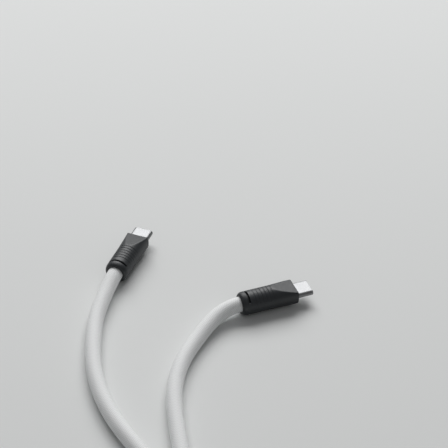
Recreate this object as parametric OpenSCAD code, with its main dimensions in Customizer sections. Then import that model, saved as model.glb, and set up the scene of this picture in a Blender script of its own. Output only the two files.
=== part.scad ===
// Charging cable: a thick braided lead with a USB-C plug on each end.
// The device plug points along +Y, the host plug lies beside it, turned towards +X.
// Both plugs and the lead rest on the plane z = 0. The spare lead is wound into one round coil.
// All sizes are in millimetres.

/* [Lead] */
// Outside diameter of the woven sleeve
cable_d = 6.4; // [6.3:0.1:6.4]
// Diameter of the rubber jacket under the sleeve
jacket_d = 5; // [4.6:0.1:5]
// Mean radius of the coil, at the middle of its turns
coil_r = 36; // [35.5:0.5:36.5]

/* [Plug housing] */
// Length of the moulded housing
housing_len = 24.2; // [24:0.1:24.6]
// Diameter of the round rear end
collar_d = 9.8; // [9.7:0.1:10]
// Width of the flat front face
front_w = 10.2; // [9.9:0.1:10.6]
// Height of the flat front face
front_h = 5.4; // [5:0.1:6]
// Length over which the round body turns into the flat front
taper_len = 10; // [9:0.5:11]
// Number of grip grooves round the body
groove_count = 6; // [3:1:6]
// Distance from one grip groove to the next
groove_pitch = 1.55; // [1.3:0.05:1.55]
// Width of a grip groove
groove_w = 0.45; // [0.3:0.05:0.6]
// Depth of a grip groove
groove_depth = 0.35; // [0.2:0.05:0.4]
// Half of the angle that a grip groove spans, from the middle of the top
groove_half_angle = 66; // [50:1:75]
// Width of the two flex slots, along the lead
slot_w = 0.8; // [0.5:0.1:0.9]
// Half of the angle that a flex slot spans, from the middle of the top
slot_half_angle = 50; // [40:1:60]

/* [Connector] */
// Width of the metal connector shell
shell_w = 8.25; // [8.2:0.01:8.3]
// Height of the metal connector shell
shell_h = 2.4; // [2.36:0.01:2.44]
// How far the shell stands out of the housing
shell_out = 6.65; // [6.2:0.05:6.7]
// Sheet thickness of the shell
shell_wall = 0.3; // [0.25:0.01:0.3]
// Distance between neighbouring contacts
contact_pitch = 0.5; // [0.48:0.01:0.5]
// Width of one contact
contact_w = 0.22; // [0.18:0.01:0.24]

/* [Circuit board] */
// Width of the board
board_w = 6.2; // [5.8:0.1:6.2]
// Thickness of the board
board_t = 0.8; // [0.7:0.05:0.8]
// Diameter of the power wire and of the ground wire
power_wire_d = 1.2; // [1:0.1:1.2]
// Diameter of each data wire
data_wire_d = 0.8; // [0.6:0.1:0.8]
// Diameter of the configuration wire
config_wire_d = 0.7; // [0.5:0.1:0.7]

/* [Hidden] */
$fn = 48;
PLUG_PIECES = [
    "housing", "connector_shell", "insulator", "upper_contacts", "lower_contacts",
    "latch_plate", "ground_springs", "circuit_board", "marker_chip", "capacitors",
    "solder_joints", "shield_can", "inner_mould", "crimp_ferrule", "shield_braid",
    "power_wire", "ground_wire", "data_wires", "config_wire", "jacket_end", "sleeve_end"
];

// Clearances between pieces that sit in each other.
gap = 0.03;
cut = 0.5;

// Stations along a plug's own axis. The front face is 0 and the lead leaves at -housing_len.
shell_rear = -4.5;
board_front = -4.6;
wire_tip = -9;
board_rear = -11;
can_rear = -12;
mould_step = -12.6;
jacket_front = -13;
braid_front = -13.2;
ferrule_from = -16.8;
braid_rear = -17.1;
mould_rear = -17.2;
bore_from = -17.4;
contact_tail = -5.6;
tongue_floor = 0.4;
contact_tip = 5.7;
spring_from = 5.85;
spring_to = 6.1;
insulator_tip = 6.3;

// The curved rim round the hole for the lead, the grooves and the flex slots.
rim_len = 2;
rim_depth = 1.2;
rim_steps = 6;
first_groove = 10.6;
slot_at = 20.85;
slot_inner_r = 3.5;

// Sections inside a plug.
tongue_w = 7;
tongue_h = 0.86;
contact_z = 0.45;
contact_h = 0.18;
mould_d = 7.8;
mould_h = 5.2;
can_w = 7;
can_h = 3.9;
can_wall = 0.2;
can_r = 1;
ferrule_d = 6.2;
ferrule_bore_d = 5.56;
braid_d = 5.5;
cable_bore_d = 6.5;
wire_x = 1.75;

// Contact places, counted from one side in half pitches.
upper_places = [-11, -5, -3, -1, 1, 5, 11];
lower_places = [-11, -5, -3, 5, 11];

// Where the front face of each plug lies, and the way the host plug points.
axis_z = collar_d / 2;
device_front = [-37.8, 9.4, axis_z];
host_front = [34.7, 2.4, axis_z];
host_angle = 42;
host_dir = [cos(host_angle), sin(host_angle), 0];
device_exit = device_front - [0, housing_len, 0];
host_exit = host_front - housing_len * host_dir;

// The coil: two lanes side by side on the floor, and one in the groove on top of them.
coil_at = [-3, -198.5];
lane_z = cable_d / 2;
outer_lane_r = coil_r + cable_d / 2;
top_lane_z = lane_z + cable_d * sin(60);
leave_angle = -20;
coil_join = [coil_at[0], coil_at[1] + outer_lane_r, lane_z];
coil_leave = [coil_at[0] + coil_r * cos(leave_angle), coil_at[1] + coil_r * sin(leave_angle), top_lane_z];

// The lead's route from the device plug to the coil.
device_route = concat(
    [device_exit],
    [
        [-37.5, -22.3, 4.2], [-36.4, -32, 3.5], [-34.6, -41.6, 3.2], [-31.5, -51, 3.2],
        [-27.4, -60.9, 3.2], [-22.4, -70.6, 3.2], [-16.2, -79.7, 3.2], [-8.9, -88, 3.2],
        [-0.7, -95.4, 3.2], [8, -102, 3.2], [16, -108.5, 3.2], [23.6, -118, 3.2],
        [26.7, -130.4, 3.2], [24.2, -143, 3.2], [16.4, -152.6, 3.2], [6.3, -157.6, 3.2]
    ],
    [coil_join]
);
// The lead's route from the host plug to the coil.
host_route = concat(
    [host_exit],
    [
        [13.2, -17.9, 4.7], [10.5, -23.1, 4.2], [8.8, -29.7, 3.7], [7.5, -39, 3.2],
        [7, -49, 3.2], [7.9, -59.1, 3.2], [10.4, -69, 3.2], [14.3, -78.4, 3.2],
        [19.1, -87.8, 3.2], [24.1, -97, 3.2], [29.2, -106.8, 3.2], [34.1, -118, 3.2],
        [38.4, -130, 3.2], [41.6, -142.6, 3.2], [43.3, -155.6, 3.6], [43.2, -168, 5],
        [41.4, -179.5, 7.6], [39.1, -187.5, 8.9], [36.5, -194.8, 9.7], [33.8, -202.7, 9.3]
    ],
    [coil_leave]
);
tube_sides = 10;

module at_device() {
    translate(device_front) children();
}

module at_host() {
    translate(host_front) rotate([0, 0, host_angle - 90]) children();
}

// Extrudes a section, drawn as width by height, between two stations on the plug's axis.
module along(from, to) {
    translate([0, to, 0]) rotate([90, 0, 0]) linear_extrude(to - from) children();
}

// Turns a profile about the plug's axis. Its second coordinate counts back from the front face.
module turned() {
    rotate([90, 0, 0]) rotate_extrude() children();
}

module stadium(w, h) {
    square([w - h, h], center = true);
    for (side = [-1, 1]) {
        translate([side * (w - h) / 2, 0]) circle(d = h);
    }
}

module rounded_rect(w, h, r) {
    square([w - 2 * r, h], center = true);
    square([w, h - 2 * r], center = true);
    for (x = [-1, 1], y = [-1, 1]) {
        translate([x * (w / 2 - r), y * (h / 2 - r)]) circle(r = r);
    }
}

module block(x, y_from, y_to, z_from, w, h) {
    translate([x - w / 2, y_from, z_from]) cube([w, y_to - y_from, h]);
}

module pipe(d_out, d_in, from, to) {
    along(from, to) difference() {
        circle(d = d_out);
        circle(d = d_in);
    }
}

// The front widens from the round body, and two slanting planes cut it flat above and below.
module nose() {
    slice = 0.1;
    sides = 64;
    half = front_h / 2;
    r = collar_d / 2;
    end = taper_len + 1;
    intersection() {
        hull() {
            along(-slice, 0) scale([front_w / collar_d, 1]) circle(d = collar_d, $fn = sides);
            along(-taper_len - slice, -taper_len) circle(d = collar_d, $fn = sides);
        }
        rotate([90, 0, 90]) translate([0, 0, -front_w]) linear_extrude(2 * front_w)
            polygon([
                [0, half], [-taper_len, r], [-end, r],
                [-end, -r], [-taper_len, -r], [0, -half]
            ]);
    }
}

// The round body, with a rim that curves in to the hole for the lead.
module body_of_revolution() {
    r = collar_d / 2;
    rim_curve = [for (k = [0:rim_steps]) let (a = 90 * k / rim_steps)
        [r - rim_depth * (1 - cos(a)), housing_len - rim_len * (1 - sin(a))]];
    turned() polygon(concat([[0, taper_len], [r, taper_len]], rim_curve, [[0, housing_len]]));
}

// Two wedges that open upwards and downwards from the plug's axis.
module above_and_below(from, to, half_angle) {
    reach = collar_d;
    half = reach * tan(half_angle);
    along(from, to) {
        polygon([[0, 0], [half, reach], [-half, reach]]);
        polygon([[0, 0], [-half, -reach], [half, -reach]]);
    }
}

module grip_grooves() {
    last_groove = first_groove + groove_count * groove_pitch;
    intersection() {
        for (k = [0:groove_count - 1]) {
            turned() translate([collar_d / 2 - groove_depth, first_groove + k * groove_pitch])
                square([groove_depth + cut, groove_w]);
        }
        above_and_below(-last_groove, -first_groove + cut, groove_half_angle);
    }
}

// Two arc slots through the rear wall, above and below, that let the collar flex.
module flex_slots() {
    intersection() {
        turned() translate([slot_inner_r - cut, slot_at]) square([collar_d, slot_w]);
        above_and_below(-slot_at - slot_w - cut, -slot_at + cut, slot_half_angle);
    }
}

module mould_section(grow) {
    intersection() {
        circle(d = mould_d + 2 * grow);
        square([collar_d, mould_h + 2 * grow], center = true);
    }
}

module mould_form(grow) {
    along(mould_step - grow, board_front + grow) mould_section(grow);
    along(mould_rear - grow, mould_step) circle(d = mould_d + 2 * grow);
}

module housing() {
    color("#3a3b3e") difference() {
        union() {
            nose();
            body_of_revolution();
        }
        grip_grooves();
        flex_slots();
        along(board_front - cut, cut) stadium(shell_w + 2 * gap, shell_h + 2 * gap);
        mould_form(gap);
        along(-housing_len - cut, mould_rear + cut) circle(d = cable_bore_d);
    }
}

module connector_shell() {
    color("#c9cbce") along(shell_rear, shell_out) difference() {
        stadium(shell_w, shell_h);
        stadium(shell_w - 2 * shell_wall, shell_h - 2 * shell_wall);
    }
}

module contact_bars(places, side, grow) {
    for (place = places) {
        block(place * contact_pitch / 2, contact_tail - grow, contact_tip + grow,
            side * (contact_z + contact_h / 2) - contact_h / 2 - grow,
            contact_w + 2 * grow, contact_h + 2 * grow);
    }
}

module spring_strips(grow) {
    strip_w = 5;
    for (side = [-1, 1]) {
        block(0, spring_from - grow, spring_to + grow,
            side * (contact_z + contact_h / 2) - contact_h / 2 - grow,
            strip_w + 2 * grow, contact_h + 2 * grow);
    }
}

module latch_form(grow) {
    arm_w = 0.22;
    arm_h = 0.5;
    arm_tip = 5.2;
    plate_w = 6.84;
    plate_t = 0.16;
    plate_rear = -4.2;
    block(0, plate_rear - grow, tongue_floor, -plate_t / 2 - grow,
        plate_w + 2 * grow, plate_t + 2 * grow);
    for (side = [-1, 1]) {
        block(side * (plate_w - arm_w) / 2, 0, arm_tip + grow, -arm_h / 2 - grow,
            arm_w + 2 * grow, arm_h + 2 * grow);
    }
}

module insulator() {
    inner_w = shell_w - 2 * shell_wall;
    inner_h = shell_h - 2 * shell_wall;
    color("#1b1b1d") difference() {
        along(shell_rear, insulator_tip) stadium(inner_w - 2 * gap, inner_h - 2 * gap);
        along(tongue_floor, insulator_tip + cut) square([tongue_w, tongue_h], center = true);
        contact_bars(upper_places, 1, gap / 2);
        contact_bars(lower_places, -1, gap / 2);
        spring_strips(gap);
        latch_form(gap / 2);
    }
}

module upper_contacts() {
    color("#d9b45a") contact_bars(upper_places, 1, 0);
}

module lower_contacts() {
    color("#d9b45a") contact_bars(lower_places, -1, 0);
}

module latch_plate() {
    color("#b9bcc0") latch_form(0);
}

module ground_springs() {
    color("#b9bcc0") spring_strips(0);
}

module circuit_board() {
    color("#1f6b45") block(0, board_rear, board_front, -board_t / 2, board_w, board_t);
}

module marker_chip() {
    chip_w = 2.2;
    chip_h = 0.6;
    chip_rear = -8.2;
    chip_front = -6.4;
    color("#222326") block(0, chip_rear, chip_front, board_t / 2, chip_w, chip_h);
}

module capacitors() {
    capacitor_w = 1;
    capacitor_h = 0.5;
    capacitor_rear = -7.8;
    capacitor_front = -7.2;
    spacing = 2;
    for (place = [-1, 0, 1]) {
        color("#b08a5b") block(place * spacing, capacitor_rear, capacitor_front,
            -board_t / 2 - capacitor_h, capacitor_w, capacitor_h);
    }
}

// Small pads hold the tails of the contacts, and two large ones hold the power and ground wires.
module solder_joints() {
    pad_w = 0.3;
    pad_h = 0.22;
    pad_rear = -6.1;
    pad_front = contact_tail - gap;
    wire_pad_w = 0.9;
    wire_pad_h = 0.4;
    wire_pad_front = -8.4;
    color("#d4d6d8") {
        for (place = upper_places) {
            block(place * contact_pitch / 2, pad_rear, pad_front, board_t / 2, pad_w, pad_h);
        }
        for (place = lower_places) {
            block(place * contact_pitch / 2, pad_rear, pad_front, -board_t / 2 - pad_h, pad_w, pad_h);
        }
        for (side = [-1, 1]) {
            block(side * wire_x, wire_tip + gap, wire_pad_front, board_t / 2, wire_pad_w, wire_pad_h);
        }
    }
}

module shield_can() {
    color("#c4c7ca") along(can_rear, board_front) difference() {
        rounded_rect(can_w, can_h, can_r);
        rounded_rect(can_w - 2 * can_wall, can_h - 2 * can_wall, can_r - can_wall);
    }
}

module inner_mould() {
    color("#dcdcd6") difference() {
        mould_form(0);
        along(can_rear - gap, board_front + cut)
            rounded_rect(can_w + 2 * gap, can_h + 2 * gap, can_r + gap);
        along(mould_rear - cut, can_rear - gap / 2) circle(d = ferrule_d + 2 * gap);
    }
}

module crimp_ferrule() {
    color("#b7babd") pipe(ferrule_d, ferrule_bore_d, ferrule_from, jacket_front);
}

module shield_braid() {
    color("#c98f5f") pipe(braid_d, jacket_d + 2 * gap, braid_rear, braid_front);
}

// A wire lies on the board and runs back to the end of the jacket.
module wire(x, side, d) {
    translate([x, 0, side * (board_t / 2 + d / 2 + gap)])
        along(jacket_front, wire_tip) circle(d = d);
}

module power_wire() {
    color("#b3352f") wire(-wire_x, 1, power_wire_d);
}

module ground_wire() {
    color("#26272a") wire(wire_x, 1, power_wire_d);
}

module data_wires() {
    x = data_wire_d / 2 + gap;
    color("#3f8f52") wire(-x, 1, data_wire_d);
    color("#e6e6e2") wire(x, 1, data_wire_d);
}

module config_wire() {
    color("#3c63a8") wire(0, -1, config_wire_d);
}

module jacket_end() {
    color("#e4e4e0") along(-housing_len, jacket_front) circle(d = jacket_d);
}

module sleeve_end() {
    color("#eeeeec") pipe(cable_d - 2 * gap, jacket_d + 4 * gap, -housing_len, bore_from - gap);
}

function unit(v) = v / norm(v);

function heading(route, i, start) =
    i == 0 ? start : unit(route[min(i + 1, len(route) - 1)] - route[i - 1]);

// One ring of points round the route, square to the way it runs.
function ring(centre, way) =
    let (side = unit(cross(way, [0, 0, 1])), up = cross(side, way))
    [for (k = [0:tube_sides - 1]) let (a = k * 360 / tube_sides)
        centre + cable_d / 2 * (cos(a) * side + sin(a) * up)];

function wall(i, k) =
    let (a = i * tube_sides + k, b = i * tube_sides + (k + 1) % tube_sides)
    [[a, b, b + tube_sides], [a, b + tube_sides, a + tube_sides]];

module tube(route, start) {
    last = len(route) - 1;
    points = [for (i = [0:last]) each ring(route[i], heading(route, i, start))];
    walls = [for (i = [0:last - 1], k = [0:tube_sides - 1]) each wall(i, k)];
    near_end = [for (k = [0:tube_sides - 1]) tube_sides - 1 - k];
    far_end = [for (k = [0:tube_sides - 1]) last * tube_sides + k];
    polyhedron(points, concat([near_end], walls, [far_end]));
}

module cable_device_side() {
    color("#eeeeec") tube(device_route, [0, -1, 0]);
}

module cable_host_side() {
    color("#eeeeec") tube(host_route, -host_dir);
}

module cable_coil() {
    inner = coil_r - cable_d;
    outer = coil_r + cable_d;
    shoulder = 0.6 * cable_d;
    crown = 0.3 * cable_d;
    top = top_lane_z + cable_d / 2;
    color("#eeeeec") translate([coil_at[0], coil_at[1], 0]) rotate_extrude($fn = 96) polygon([
        [inner, 0], [outer, 0], [outer, shoulder],
        [coil_r + crown, top], [coil_r - crown, top], [inner, shoulder]
    ]);
}

at_device() housing();  // device_housing
at_device() connector_shell();  // device_connector_shell
at_device() insulator();  // device_insulator
at_device() upper_contacts();  // device_upper_contacts
at_device() lower_contacts();  // device_lower_contacts
at_device() latch_plate();  // device_latch_plate
at_device() ground_springs();  // device_ground_springs
at_device() circuit_board();  // device_circuit_board
at_device() marker_chip();  // device_marker_chip
at_device() capacitors();  // device_capacitors
at_device() solder_joints();  // device_solder_joints
at_device() shield_can();  // device_shield_can
at_device() inner_mould();  // device_inner_mould
at_device() crimp_ferrule();  // device_crimp_ferrule
at_device() shield_braid();  // device_shield_braid
at_device() power_wire();  // device_power_wire
at_device() ground_wire();  // device_ground_wire
at_device() data_wires();  // device_data_wires
at_device() config_wire();  // device_config_wire
at_device() jacket_end();  // device_jacket_end
at_device() sleeve_end();  // device_sleeve_end
at_host() housing();  // host_housing
at_host() connector_shell();  // host_connector_shell
at_host() insulator();  // host_insulator
at_host() upper_contacts();  // host_upper_contacts
at_host() lower_contacts();  // host_lower_contacts
at_host() latch_plate();  // host_latch_plate
at_host() ground_springs();  // host_ground_springs
at_host() circuit_board();  // host_circuit_board
at_host() marker_chip();  // host_marker_chip
at_host() capacitors();  // host_capacitors
at_host() solder_joints();  // host_solder_joints
at_host() shield_can();  // host_shield_can
at_host() inner_mould();  // host_inner_mould
at_host() crimp_ferrule();  // host_crimp_ferrule
at_host() shield_braid();  // host_shield_braid
at_host() power_wire();  // host_power_wire
at_host() ground_wire();  // host_ground_wire
at_host() data_wires();  // host_data_wires
at_host() config_wire();  // host_config_wire
at_host() jacket_end();  // host_jacket_end
at_host() sleeve_end();  // host_sleeve_end
cable_device_side();
cable_host_side();
cable_coil();
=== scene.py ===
import math

import bpy
import numpy as np
from mathutils import Matrix, Vector


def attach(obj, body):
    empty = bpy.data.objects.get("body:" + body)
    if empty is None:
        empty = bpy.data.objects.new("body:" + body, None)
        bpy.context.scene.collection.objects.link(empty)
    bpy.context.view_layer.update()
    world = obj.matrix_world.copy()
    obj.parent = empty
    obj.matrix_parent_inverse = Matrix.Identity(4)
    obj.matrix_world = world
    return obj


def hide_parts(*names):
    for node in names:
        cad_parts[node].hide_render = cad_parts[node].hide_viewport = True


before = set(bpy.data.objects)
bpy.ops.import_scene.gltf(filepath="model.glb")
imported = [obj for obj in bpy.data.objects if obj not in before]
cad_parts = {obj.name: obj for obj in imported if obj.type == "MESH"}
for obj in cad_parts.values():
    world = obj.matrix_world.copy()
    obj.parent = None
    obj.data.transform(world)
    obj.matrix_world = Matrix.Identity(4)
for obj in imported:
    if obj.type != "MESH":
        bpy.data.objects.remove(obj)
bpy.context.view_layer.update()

MM = 0.001

# ---------------------------------------------------------------- sizes, in millimetres
CABLE_D = 6.4
HOUSING_LEN = 24.2
COLLAR_R = 4.9
FRONT_HALF_W = 5.1
FRONT_HALF_H = 2.7
TAPER_LEN = 10.0
SHELL_W, SHELL_H = 8.25, 2.4
SHELL_OUT, SHELL_REAR, SHELL_WALL = 6.65, -4.5, 0.3
LEAD_INSIDE = 3.0  # how far the lead's route runs on into each housing
NEARLY_ZERO = 1e-6  # keeps a division from failing where the divisor is zero

# ---------------------------------------------------------------- where the plugs lie, in millimetres
DEVICE_FRONT = (-37.8, 9.4, COLLAR_R)
HOST_FRONT = (34.7, 2.4, COLLAR_R)
HOST_ANGLE = math.radians(42.0)

# ---------------------------------------------------------------- the lead's route, in metres
DEVICE_ROUTE = [
    (-0.0378, -0.0148, 0.0049), (-0.0375, -0.0223, 0.0042), (-0.0364, -0.0320, 0.0035),
    (-0.0346, -0.0416, 0.0032), (-0.0315, -0.0510, 0.0032), (-0.0274, -0.0609, 0.0032),
    (-0.0224, -0.0706, 0.0032), (-0.0162, -0.0797, 0.0032), (-0.0089, -0.0880, 0.0032),
    (-0.0007, -0.0954, 0.0032), (0.0080, -0.1020, 0.0032), (0.0160, -0.1085, 0.0032),
    (0.0236, -0.1180, 0.0032), (0.0267, -0.1304, 0.0032), (0.0242, -0.1430, 0.0032),
    (0.0164, -0.1526, 0.0032), (0.0063, -0.1576, 0.0032),
]
HOST_ROUTE = [
    (0.0167, -0.0138, 0.0049), (0.0132, -0.0179, 0.0047), (0.0105, -0.0231, 0.0042),
    (0.0088, -0.0297, 0.0037), (0.0075, -0.0390, 0.0032), (0.0070, -0.0490, 0.0032),
    (0.0079, -0.0591, 0.0032), (0.0104, -0.0690, 0.0032), (0.0143, -0.0784, 0.0032),
    (0.0191, -0.0878, 0.0032), (0.0241, -0.0970, 0.0032), (0.0292, -0.1068, 0.0032),
    (0.0341, -0.1180, 0.0032), (0.0384, -0.1300, 0.0032), (0.0416, -0.1426, 0.0032),
    (0.0433, -0.1556, 0.0036), (0.0432, -0.1680, 0.0050), (0.0414, -0.1795, 0.0076),
    (0.0391, -0.1875, 0.0089), (0.0365, -0.1948, 0.0097), (0.0338, -0.2027, 0.0093),
]
COIL_AT = (-0.003, -0.1985)
COIL_R = 0.036
COIL_JOINS_AT = 90.0  # where on the ring the lead joins it, in degrees
COIL_POINT_STEP = 10.0  # degrees from one point of a turn to the next


def smoothstep(x):
    x = min(1.0, max(0.0, x))
    return x * x * (3 - 2 * x)


def coil_line():
    """The turns of the coil: the outer floor lane, the inner floor lane, then the groove on top of both."""
    d = CABLE_D * MM
    lane_z = d / 2
    outer, inner = COIL_R + d / 2, COIL_R - d / 2
    # degrees travelled from where the lead joins the coil
    step_in, stepped_in = 305.0, 358.0
    climb, climbed, leave = 625.0, 665.0, 970.0
    full_turn = 360.0
    # where the lead lies round the outer lane, in degrees from outwards: beside it, then on top
    beside, on_top = 180.0, 120.0

    def floor_r(t):
        return outer + (inner - outer) * smoothstep((t - step_in) / (stepped_in - step_in))

    line = []
    for k in range(int(leave / COIL_POINT_STEP) + 1):
        t = k * COIL_POINT_STEP
        if t < climb:
            r, z = floor_r(t), lane_z
        elif t < climbed:
            # rolls up over the outer lane, touching it all the way
            climbing = smoothstep((t - climb) / (climbed - climb))
            roll = math.radians(beside + (on_top - beside) * climbing)
            r, z = outer + d * math.cos(roll), lane_z + d * math.sin(roll)
        else:
            r = COIL_R
            z = lane_z + math.sqrt(d * d - (floor_r(t - full_turn) - r) ** 2)
        a = math.radians(COIL_JOINS_AT + t)
        line.append((COIL_AT[0] + r * math.cos(a), COIL_AT[1] + r * math.sin(a), z))
    return line


def smooth_line(points, step):
    """A natural cubic spline through the points, sampled about every step metres."""
    fine_per_step = 4
    p = np.array(points, float)
    h = np.linalg.norm(np.diff(p, axis=0), axis=1)
    s = np.concatenate([[0], np.cumsum(h)])
    n = len(p)
    a = np.zeros((n, n))
    b = np.zeros((n, 3))
    a[0, 0] = a[-1, -1] = 1
    for i in range(1, n - 1):
        a[i, i - 1 : i + 2] = h[i - 1], 2 * (h[i - 1] + h[i]), h[i]
        b[i] = 6 * ((p[i + 1] - p[i]) / h[i] - (p[i] - p[i - 1]) / h[i - 1])
    m = np.linalg.solve(a, b)
    fine = np.linspace(0, s[-1], int(s[-1] / step * fine_per_step))
    i = np.clip(np.searchsorted(s, fine, side="right") - 1, 0, n - 2)
    u, v, w = (fine - s[i])[:, None], (s[i + 1] - fine)[:, None], h[i][:, None]
    line = (
        (m[i] * v**3 + m[i + 1] * u**3) / (6 * w)
        + (p[i] / w - m[i] * w / 6) * v
        + (p[i + 1] / w - m[i + 1] * w / 6) * u
    )
    run = np.concatenate([[0], np.cumsum(np.linalg.norm(np.diff(line, axis=0), axis=1))])
    even = np.linspace(0, run[-1], int(round(run[-1] / step)) + 1)
    return np.stack([np.interp(even, run, line[:, k]) for k in range(3)], axis=1)


# ---------------------------------------------------------------- camera
CAMERA_AT = (0.1972, -0.5355, 0.4798)
CAMERA_DOWN, CAMERA_TURN, CAMERA_ROLL = 38.15, 19.82, 1.30
CAMERA_LENS, CAMERA_SENSOR = 144.0, 36.0
CAMERA_NEAR = 0.01


def add_camera():
    data = bpy.data.cameras.new("camera")
    data.lens = CAMERA_LENS
    data.sensor_width = CAMERA_SENSOR
    data.clip_start = CAMERA_NEAR
    camera = bpy.data.objects.new("camera", data)
    turn = Matrix.Rotation(math.radians(CAMERA_TURN), 4, "Z")
    tilt = Matrix.Rotation(math.radians(90 - CAMERA_DOWN), 4, "X")
    roll = Matrix.Rotation(math.radians(CAMERA_ROLL), 4, "Z")
    camera.matrix_world = Matrix.Translation(CAMERA_AT) @ turn @ tilt @ roll
    bpy.context.scene.collection.objects.link(camera)
    bpy.context.scene.camera = camera


# ---------------------------------------------------------------- mesh helpers
def grid_piece(name, rows, close_rows=False, uv=None, cap_ends=False):
    """A piece from rows of points, each row a closed ring with the same count.

    uv is two functions that turn a point's number round its row, and its row's number, into u and v.
    """
    rows = np.asarray(rows, float)
    n, m = rows.shape[:2]
    last = n if close_rows else n - 1
    i, k = np.meshgrid(np.arange(last), np.arange(m), indexing="ij")
    a = i * m + k
    b = i * m + (k + 1) % m
    c = ((i + 1) % n) * m + (k + 1) % m
    d = ((i + 1) % n) * m + k
    quads = np.stack([a, b, c, d], axis=-1).reshape(-1, 4)
    faces = quads.tolist()
    if cap_ends:
        faces += [list(range(m))[::-1], [(n - 1) * m + k for k in range(m)]]
    mesh = bpy.data.meshes.new(name)
    mesh.from_pydata(rows.reshape(-1, 3).tolist(), [], faces)
    if uv is not None:
        layer = mesh.uv_layers.new(name="weave")
        u_of, v_of = uv
        flat = np.zeros((len(mesh.loops), 2))
        ii, kk = i.reshape(-1), k.reshape(-1)
        corner_u = np.stack([u_of(kk), u_of(kk + 1), u_of(kk + 1), u_of(kk)], axis=1)
        corner_v = np.stack([v_of(ii), v_of(ii), v_of(ii + 1), v_of(ii + 1)], axis=1)
        flat[: len(quads) * 4, 0] = corner_u.reshape(-1)
        flat[: len(quads) * 4, 1] = corner_v.reshape(-1)
        layer.data.foreach_set("uv", flat.reshape(-1))
    mesh.shade_smooth()
    mesh.update()
    piece = bpy.data.objects.new(name, mesh)
    bpy.context.scene.collection.objects.link(piece)
    return piece


def place(front, angle):
    """Plug millimetres to row metres. In a plug, x is its width, y the way it goes in and z is up."""
    turned = Matrix.Rotation(angle, 4, "Z") @ Matrix.Scale(MM, 4)
    return Matrix.Translation([c * MM for c in front]) @ turned


def placed(rows, matrix):
    """Rows of points in plug millimetres, moved to where place() puts that plug."""
    rows = np.asarray(rows, float)
    m = np.array(matrix)
    return rows @ m[:3, :3].T + m[:3, 3]


# ---------------------------------------------------------------- materials
# Noise scales are in waves per metre, and bump depths in metres.
NOISE_LOW, NOISE_HIGH = 0.3, 0.7  # noise seldom leaves this range
PLASTIC_IOR = 1.58


def material(name):
    mat = bpy.data.materials.new(name)
    mat.use_nodes = True
    tree = mat.node_tree
    shader = tree.nodes["Principled BSDF"]
    return mat, tree, shader


def node(tree, kind, **settings):
    made = tree.nodes.new(kind)
    for key, value in settings.items():
        setattr(made, key, value)
    return made


def math_node(tree, operation, *inputs):
    made = node(tree, "ShaderNodeMath", operation=operation)
    for socket, value in zip(made.inputs, inputs):
        if isinstance(value, (int, float)):
            socket.default_value = value
        else:
            tree.links.new(value, socket)
    return made.outputs[0]


def noise(tree, scale, detail, roughness=0.5, stretch=(1, 1, 1)):
    where = node(tree, "ShaderNodeTexCoord")
    mapping = node(tree, "ShaderNodeMapping")
    mapping.inputs["Scale"].default_value = stretch
    tree.links.new(where.outputs["Object"], mapping.inputs["Vector"])
    tex = node(tree, "ShaderNodeTexNoise")
    tex.inputs["Scale"].default_value = scale
    tex.inputs["Detail"].default_value = detail
    tex.inputs["Roughness"].default_value = roughness
    tree.links.new(mapping.outputs[0], tex.inputs["Vector"])
    return tex.outputs["Fac"]


def ramp(tree, fac, low, high, from_min=NOISE_LOW, from_max=NOISE_HIGH):
    made = node(tree, "ShaderNodeMapRange")
    made.inputs["From Min"].default_value = from_min
    made.inputs["From Max"].default_value = from_max
    made.inputs["To Min"].default_value = low
    made.inputs["To Max"].default_value = high
    tree.links.new(fac, made.inputs["Value"])
    return made.outputs[0]


def colour_mix(tree, fac, dark, light):
    made = node(tree, "ShaderNodeMix", data_type="RGBA")
    made.inputs["A"].default_value = (*dark, 1)
    made.inputs["B"].default_value = (*light, 1)
    tree.links.new(fac, made.inputs["Factor"])
    return made.outputs["Result"]


def bump(tree, height, distance, strength, under=None):
    made = node(tree, "ShaderNodeBump")
    made.inputs["Strength"].default_value = strength
    made.inputs["Distance"].default_value = distance
    tree.links.new(height, made.inputs["Height"])
    if under is not None:
        tree.links.new(under, made.inputs["Normal"])
    return made.outputs[0]


def moulded_plastic(name, dark, light, rough=(0.38, 0.48), grain=6000, depth=0.00002):
    """Faint patches of tone and gloss, with a fine moulded grain."""
    mat, tree, shader = material(name)
    patches = noise(tree, scale=350, detail=3)
    gloss = noise(tree, scale=900, detail=3)
    surface = noise(tree, scale=grain, detail=2)
    tree.links.new(colour_mix(tree, patches, dark, light), shader.inputs["Base Color"])
    tree.links.new(ramp(tree, gloss, *rough), shader.inputs["Roughness"])
    tree.links.new(bump(tree, surface, depth, strength=0.5), shader.inputs["Normal"])
    shader.inputs["IOR"].default_value = PLASTIC_IOR
    return mat


def metal(name, dark, light, rough=(0.2, 0.34), stretch=(1, 1, 1), depth=0.000006):
    """Fine streaks that change the tone, the gloss and the surface together."""
    mat, tree, shader = material(name)
    streaks = noise(tree, scale=2500, detail=3, roughness=0.6, stretch=stretch)
    tree.links.new(colour_mix(tree, streaks, dark, light), shader.inputs["Base Color"])
    tree.links.new(ramp(tree, streaks, *rough), shader.inputs["Roughness"])
    tree.links.new(bump(tree, streaks, depth, strength=0.35), shader.inputs["Normal"])
    shader.inputs["Metallic"].default_value = 1.0
    return mat


WEAVE_AROUND = 12  # yarn bundles of one direction round the sleeve
WEAVE_PITCH = 0.85  # millimetres from one bundle to the next, along the sleeve
THREADS_PER_BUNDLE = 3
THREAD_HEIGHT = 0.06  # of a bundle's own height
ROUND_ACROSS, ROUND_ALONG = 0.6, 0.5  # the lower, the flatter a bundle's top
GAP_SHADE_ENDS = 0.7  # from this height up a bundle shows the yarn's own colour; below it, painted shade darkens it towards the gaps
BUNDLE_RELIEF, FUZZ_RELIEF = 0.00009, 0.00002
# the yarn's own colour, and a darker colour that is painted shade for the gaps between bundles
YARN_GAP_SHADE, YARN_OWN_COLOUR = (0.74, 0.75, 0.75), (0.92, 0.93, 0.93)


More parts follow.
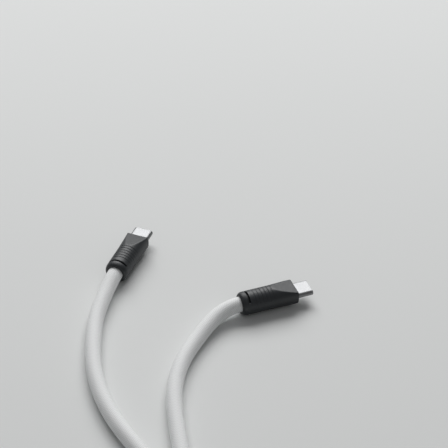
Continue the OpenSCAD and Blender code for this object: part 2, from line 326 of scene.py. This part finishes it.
def woven_sleeve(name):
    """Two families of yarn bundles cross over and under each other round the sleeve."""
    mat, tree, shader = material(name)
    uv = node(tree, "ShaderNodeUVMap", uv_map="weave")
    split = node(tree, "ShaderNodeSeparateXYZ")
    tree.links.new(uv.outputs[0], split.inputs[0])
    u, v = split.outputs["X"], split.outputs["Y"]
    a = math_node(tree, "ADD", u, v)
    b = math_node(tree, "SUBTRACT", u, v)
    fa, fb = math_node(tree, "FRACT", a), math_node(tree, "FRACT", b)
    cells = math_node(tree, "ADD", math_node(tree, "FLOOR", a), math_node(tree, "FLOOR", b))
    over = math_node(tree, "FLOORED_MODULO", cells, 2.0)

    def hump(x, power):
        wave = math_node(tree, "SINE", math_node(tree, "MULTIPLY", x, math.pi))
        return math_node(tree, "POWER", wave, power)

    def bundle(across, along):
        waves = math_node(tree, "MULTIPLY", across, 2 * math.pi * THREADS_PER_BUNDLE)
        threads = math_node(tree, "MULTIPLY", math_node(tree, "SINE", waves), THREAD_HEIGHT)
        body = math_node(tree, "MULTIPLY", hump(across, ROUND_ACROSS), hump(along, ROUND_ALONG))
        return math_node(tree, "ADD", body, threads)

    first, second = bundle(fa, fb), bundle(fb, fa)
    pick = node(tree, "ShaderNodeMix", data_type="FLOAT")
    tree.links.new(over, pick.inputs["Factor"])
    tree.links.new(first, pick.inputs["A"])
    tree.links.new(second, pick.inputs["B"])
    height = pick.outputs["Result"]
    # painted shade: the colour darkens from the bundle tops down into the gaps between bundles
    painted_gap_shade = ramp(tree, height, 0.0, 1.0, from_min=0.0, from_max=GAP_SHADE_ENDS)
    tree.links.new(colour_mix(tree, painted_gap_shade, YARN_GAP_SHADE, YARN_OWN_COLOUR), shader.inputs["Base Color"])
    fuzz = bump(tree, noise(tree, scale=9000, detail=2), FUZZ_RELIEF, strength=0.3)
    relief = bump(tree, height, BUNDLE_RELIEF, strength=0.8, under=fuzz)
    tree.links.new(relief, shader.inputs["Normal"])
    shader.inputs["Roughness"].default_value = 0.62
    shader.inputs["Sheen Weight"].default_value = 0.05
    shader.inputs["Sheen Roughness"].default_value = 0.4
    return mat


# ---------------------------------------------------------------- the lead
LEAD_STEP = 0.0005  # metres from one ring of the lead's mesh to the next
LEAD_SIDES = 40
LEAD_TRIM = 4  # rings left off at each end of the route, so the mesh ends 1 mm inside a housing


def lead_route():
    """From inside the device plug, round the coil and back to the inside of the host plug."""
    inside = LEAD_INSIDE * MM
    device_exit, host_exit = DEVICE_ROUTE[0], HOST_ROUTE[0]
    device_start = (device_exit[0], device_exit[1] + inside, device_exit[2])
    host_end = (
        host_exit[0] + math.cos(HOST_ANGLE) * inside,
        host_exit[1] + math.sin(HOST_ANGLE) * inside,
        host_exit[2],
    )
    return [device_start] + DEVICE_ROUTE + coil_line() + HOST_ROUTE[::-1] + [host_end]


def make_lead():
    line = smooth_line(lead_route(), LEAD_STEP)[LEAD_TRIM:-LEAD_TRIM]
    way = np.gradient(line, axis=0)
    way /= np.linalg.norm(way, axis=1)[:, None]
    side = np.cross(way, (0, 0, 1))
    side /= np.linalg.norm(side, axis=1)[:, None]
    up = np.cross(side, way)
    angle = np.linspace(0, 2 * math.pi, LEAD_SIDES, endpoint=False)
    across = np.cos(angle)[None, :, None] * side[:, None]
    upward = np.sin(angle)[None, :, None] * up[:, None]
    rings = line[:, None] + CABLE_D * MM / 2 * (across + upward)
    spacing = LEAD_STEP / (WEAVE_PITCH * MM)
    weave_uv = (lambda k: k / LEAD_SIDES * WEAVE_AROUND, lambda i: i * spacing)
    return grid_piece("braided_lead", rings, uv=weave_uv, cap_ends=True), line


add_camera()
lead, lead_line = make_lead()
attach(lead, "root")
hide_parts("cable_device_side", "cable_host_side", "cable_coil")
lead.data.materials.append(woven_sleeve("woven_sleeve"))


# ---------------------------------------------------------------- plug housings
# s is the distance behind the front face, in millimetres.
AROUND = 240  # points round the housing
FRONT_ROUND = 0.35
FRONT_SQUARER = 0.3  # how much the front's section is squarer than an ellipse
FACET_ROUND = 0.22
GROOVE_FIRST, GROOVE_PITCH, GROOVE_COUNT = 10.8, 1.55, 6
GROOVE_W, GROOVE_DEPTH = 0.52, 0.14
GROOVE_HALF_ANGLE, GROOVE_FADE = math.radians(58), 0.3  # the fade is in radians
SLOT_AT, SLOT_HALF_W, SLOT_DEPTH, SLOT_EDGE = 21.25, 0.5, 1.35, 0.1
SLOT_HALF_ANGLE = math.radians(50)
RIM_LEN, RIM_DEPTH = 2.2, 1.2
RIM_FROM = HOUSING_LEN - RIM_LEN

# The inside: the hole for the lead, the pocket for the inner mould and the opening for the shell.
BORE_R, BORE_CHAMFER, BORE_MIDDLE = 3.26, 0.12, 20.0
POCKET_REAR, POCKET_STEP, POCKET_FRONT = 17.25, 12.6, 4.6
POCKET_R, POCKET_HALF_H = 3.93, 2.63
POCKET_REAR_SLOPE, POCKET_STEP_SLOPE, POCKET_FRONT_SLOPE = 0.15, 0.4, 0.05
OPENING_GAP, OPENING_CHAMFER = 0.06, 0.12

# How closely the rows of points follow each other.
PLAIN_ROWS, GROOVE_ROWS, SLOT_ROWS, LIP_ROWS = 0.3, 0.09, 0.035, 0.1


def soft_min(a, b, k):
    """The smaller of a and b, with the corner between them rounded over a width of k."""
    h = np.clip(0.5 + 0.5 * (b - a) / k, 0, 1)
    return b * (1 - h) + a * h - k * h * (1 - h)


def body_radius(s, angle):
    """The housing's outside, s millimetres behind the front face."""
    blend = max(0.0, 1 - s / TAPER_LEN)
    half_w = COLLAR_R + (FRONT_HALF_W - COLLAR_R) * blend
    power = 2 + FRONT_SQUARER * blend
    across, up = np.abs(np.cos(angle)), np.abs(np.sin(angle))
    r = ((across / half_w) ** power + (up / COLLAR_R) ** power) ** (-1 / power)
    # two slanting planes cut the front flat, above and below
    half_h = FRONT_HALF_H + (COLLAR_R - FRONT_HALF_H) * s / TAPER_LEN
    r = soft_min(r, half_h / np.maximum(up, NEARLY_ZERO), FACET_ROUND)
    if s < FRONT_ROUND:
        r = r - FRONT_ROUND + math.sqrt(FRONT_ROUND**2 - (FRONT_ROUND - s) ** 2)
    # the angle from straight up or straight down, whichever is nearer
    from_top = np.minimum(np.abs(angle - math.pi / 2), np.abs(angle - 3 * math.pi / 2))
    for k in range(GROOVE_COUNT):
        away = abs(s - GROOVE_FIRST - k * GROOVE_PITCH) / (GROOVE_W / 2)
        if away < 1:
            fade = np.clip((GROOVE_HALF_ANGLE + GROOVE_FADE - from_top) / GROOVE_FADE, 0, 1)
            r = r - GROOVE_DEPTH * (0.5 + 0.5 * math.cos(math.pi * away)) * fade
    # distance from the middle line of the nearer flex slot
    past_end = np.maximum(0, from_top - SLOT_HALF_ANGLE) * COLLAR_R
    edge = np.clip((SLOT_HALF_W - np.hypot(past_end, s - SLOT_AT)) / SLOT_EDGE, 0, 1)
    r = r - SLOT_DEPTH * edge * edge * (3 - 2 * edge)
    if s > RIM_FROM:
        r = r - RIM_DEPTH * (1 - math.sqrt(max(0.0, 1 - ((s - RIM_FROM) / RIM_LEN) ** 2)))
    return r


def stadium_radius(w, h, angle):
    """How far the outline of a slot with round ends is from its middle, in each direction."""
    c, n = np.abs(np.cos(angle)), np.abs(np.sin(angle))
    flat = (h / 2) / np.maximum(n, NEARLY_ZERO)
    mid = (w - h) / 2
    root = np.maximum((h / 2) ** 2 - (mid * n) ** 2, 0)
    round_end = mid * c + np.sqrt(root)
    return np.where(flat * c <= mid, flat, round_end)


def outside_stations():
    """Where the rows of the outside lie, closer together where the shape has finer detail."""

    def spread(start, end, step):
        return list(np.linspace(start, end, int(round((end - start) / step)), endpoint=False))

    front = [FRONT_ROUND * (1 - math.cos(math.radians(angle))) for angle in range(0, 90, 15)]
    rim = [RIM_FROM + RIM_LEN * math.sin(math.radians(angle)) for angle in range(0, 91, 6)]
    grooves_from = GROOVE_FIRST - GROOVE_W
    slot_from = SLOT_AT - SLOT_HALF_W - SLOT_EDGE
    slot_to = SLOT_AT + SLOT_HALF_W + SLOT_EDGE
    return (
        front
        + spread(FRONT_ROUND, grooves_from, PLAIN_ROWS)
        + spread(grooves_from, slot_from, GROOVE_ROWS)
        + spread(slot_from, slot_to, SLOT_ROWS)
        + spread(slot_to, RIM_FROM, LIP_ROWS)
        + rim
    )


def housing_rows():
    """Rings of points along the outside to the rear, then back through the inside to the front."""
    angle = np.linspace(0, 2 * math.pi, AROUND, endpoint=False)
    rows = []

    def row(s, r):
        r = r * np.ones(AROUND)
        rows.append(np.stack([r * np.cos(angle), np.full(AROUND, -s), r * np.sin(angle)], axis=1))

    for s in outside_stations():
        row(s, body_radius(s, angle))
    row(HOUSING_LEN, BORE_R + BORE_CHAMFER)
    row(HOUSING_LEN - BORE_CHAMFER, BORE_R)
    row(BORE_MIDDLE, BORE_R)
    row(POCKET_REAR + POCKET_REAR_SLOPE, BORE_R)
    row(POCKET_REAR, POCKET_R)
    row(POCKET_STEP + POCKET_STEP_SLOPE, POCKET_R)
    flat = np.minimum(POCKET_R, POCKET_HALF_H / np.maximum(np.abs(np.sin(angle)), NEARLY_ZERO))
    row(POCKET_STEP, flat)
    row(POCKET_FRONT, flat)
    opening = stadium_radius(SHELL_W + OPENING_GAP, SHELL_H + OPENING_GAP, angle)
    row(POCKET_FRONT - POCKET_FRONT_SLOPE, opening)
    row(OPENING_CHAMFER, opening)
    row(0.0, opening + OPENING_CHAMFER)
    front = body_radius(0, angle)
    # two more rings across the front face, on the way out to the first row
    for share in (0.35, 0.7):
        row(0.0, (opening + OPENING_CHAMFER) * (1 - share) + front * share)
    return rows


def make_housing(name, matrix, replaced):
    piece = grid_piece(name, placed(housing_rows(), matrix), close_rows=True)
    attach(piece, "root")
    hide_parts(replaced)
    return piece


def stadium_ring(w, h, count):
    """Points evenly spaced round a stadium outline."""
    mid, r = (w - h) / 2, h / 2
    straight, arc = 2 * mid, math.pi * r
    total = 2 * (straight + arc)
    points = []
    for k in range(count):
        t = k / count * total
        if t < straight:
            points.append((-mid + t, -r))
        elif t < straight + arc:
            a = (t - straight) / r - math.pi / 2
            points.append((mid + r * math.cos(a), r * math.sin(a)))
        elif t < 2 * straight + arc:
            points.append((mid - (t - straight - arc), r))
        else:
            a = (t - 2 * straight - arc) / r + math.pi / 2
            points.append((-mid + r * math.cos(a), r * math.sin(a)))
    return np.array(points)


SHELL_AROUND = 120  # points round the shell
SHELL_ROWS = 12  # rows along its outside, and as many along its inside
SHELL_LIP_ROWS = 8


def make_shell(name, matrix, replaced):
    """A drawn shell, open at both ends, with a rounded front lip."""
    lip = SHELL_WALL / 2
    lip_from = SHELL_OUT - lip
    rows = []

    def row(y, inset):
        ring = stadium_ring(SHELL_W - 2 * inset, SHELL_H - 2 * inset, SHELL_AROUND)
        rows.append(np.stack([ring[:, 0], np.full(SHELL_AROUND, y), ring[:, 1]], axis=1))

    for y in np.linspace(SHELL_REAR, lip_from, SHELL_ROWS):
        row(y, 0)
    for k in range(1, SHELL_LIP_ROWS):
        a = math.pi * k / SHELL_LIP_ROWS
        row(lip_from + lip * math.sin(a), lip * (1 - math.cos(a)))
    for y in np.linspace(lip_from, SHELL_REAR, SHELL_ROWS):
        row(y, SHELL_WALL)
    piece = grid_piece(name, placed(rows, matrix), close_rows=True)
    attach(piece, "root")
    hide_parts(replaced)
    return piece


plastic = moulded_plastic("grey_plastic", (0.014, 0.017, 0.020), (0.020, 0.024, 0.028), (0.46, 0.54))
steel = metal("drawn_steel", (0.24, 0.243, 0.248), (0.31, 0.313, 0.318), (0.42, 0.54))
PLUGS = {"device": place(DEVICE_FRONT, 0), "host": place(HOST_FRONT, HOST_ANGLE - math.pi / 2)}
for end, matrix in PLUGS.items():
    make_housing(f"{end}_plug_housing", matrix, f"{end}_housing").data.materials.append(plastic)
    make_shell(f"{end}_plug_shell", matrix, f"{end}_connector_shell").data.materials.append(steel)

# ---------------------------------------------------------------- materials of the CAD pieces
black_plastic = moulded_plastic("black_insulator", (0.010, 0.010, 0.011), (0.016, 0.016, 0.018))
gold = metal("gold_contact", (0.72, 0.50, 0.20), (0.90, 0.68, 0.33), (0.15, 0.28))
board = moulded_plastic("green_board", (0.012, 0.10, 0.045), (0.02, 0.16, 0.075), (0.2, 0.3))
chip = moulded_plastic("chip_black", (0.015, 0.015, 0.016), (0.03, 0.03, 0.032))
ceramic = moulded_plastic("ceramic_tan", (0.30, 0.21, 0.12), (0.42, 0.30, 0.18))
solder = metal("solder", (0.62, 0.63, 0.65), (0.78, 0.79, 0.80), (0.12, 0.25))
natural = moulded_plastic("inner_mould", (0.58, 0.58, 0.54), (0.68, 0.68, 0.64))
copper = metal("copper_braid", (0.62, 0.32, 0.18), (0.85, 0.50, 0.32), (0.25, 0.4), (1, 6, 1))
red = moulded_plastic("wire_red", (0.42, 0.03, 0.02), (0.52, 0.05, 0.035))
black = moulded_plastic("wire_black", (0.012, 0.012, 0.013), (0.022, 0.022, 0.024))
green = moulded_plastic("wire_green", (0.05, 0.25, 0.07), (0.07, 0.33, 0.1))
blue = moulded_plastic("wire_blue", (0.03, 0.09, 0.32), (0.05, 0.13, 0.42))
jacket = moulded_plastic("jacket_white", (0.70, 0.70, 0.68), (0.78, 0.78, 0.76), (0.5, 0.6))
cloth = moulded_plastic("sleeve_end_yarn", (0.62, 0.63, 0.63), (0.78, 0.79, 0.79), (0.6, 0.7), 3000, 0.0001)
FINISH = {
    "housing": plastic, "connector_shell": steel, "insulator": black_plastic,
    "upper_contacts": gold, "lower_contacts": gold, "latch_plate": steel, "ground_springs": steel,
    "circuit_board": board, "marker_chip": chip, "capacitors": ceramic, "solder_joints": solder,
    "shield_can": steel, "inner_mould": natural, "crimp_ferrule": steel, "shield_braid": copper,
    "power_wire": red, "ground_wire": black, "data_wires": green, "config_wire": blue,
    "jacket_end": jacket, "sleeve_end": cloth,
}
for name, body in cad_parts.items():
    finish = FINISH.get(name.split("_", 1)[1])
    if finish is not None:
        for slot in body.material_slots:
            slot.material = finish


# ---------------------------------------------------------------- floor and light
def add_floor():
    half = 3.0
    corners = [(-half, -half, 0), (half, -half, 0), (half, half, 0), (-half, half, 0)]
    mesh = bpy.data.meshes.new("floor")
    mesh.from_pydata(corners, [], [(0, 1, 2, 3)])
    floor = bpy.data.objects.new("floor", mesh)
    bpy.context.scene.collection.objects.link(floor)
    mat, tree, shader = material("pale_floor")
    patches = noise(tree, scale=4, detail=2)
    tone = colour_mix(tree, patches, (0.74, 0.75, 0.745), (0.76, 0.77, 0.765))
    tree.links.new(tone, shader.inputs["Base Color"])
    shader.inputs["Roughness"].default_value = 0.75
    floor.data.materials.append(mat)


LIGHTS_AIM = (0, -0.03, 0)


def add_light(name, at, size, size_y, power):
    data = bpy.data.lights.new(name, "AREA")
    data.shape = "RECTANGLE"
    data.size, data.size_y, data.energy = size, size_y, power
    light = bpy.data.objects.new(name, data)
    way = Vector(at) - Vector(LIGHTS_AIM)
    light.matrix_world = Matrix.Translation(at) @ way.to_track_quat("Z", "Y").to_matrix().to_4x4()
    bpy.context.scene.collection.objects.link(light)


def add_world(colour, strength):
    world = bpy.data.worlds.new("studio")
    world.use_nodes = True
    background = world.node_tree.nodes["Background"]
    background.inputs["Color"].default_value = (*colour, 1)
    background.inputs["Strength"].default_value = strength
    bpy.context.scene.world = world


add_floor()
add_light("key_behind", at=(-0.50, 1.26, 1.25), size=1.8, size_y=1.1, power=35)
add_light("fill_front", at=(0.5, -0.9, 1.2), size=1.2, size_y=1.2, power=0.8)
add_world(colour=(0.98, 0.99, 1.0), strength=0.16)
bpy.context.scene.view_settings.view_transform = "Standard"
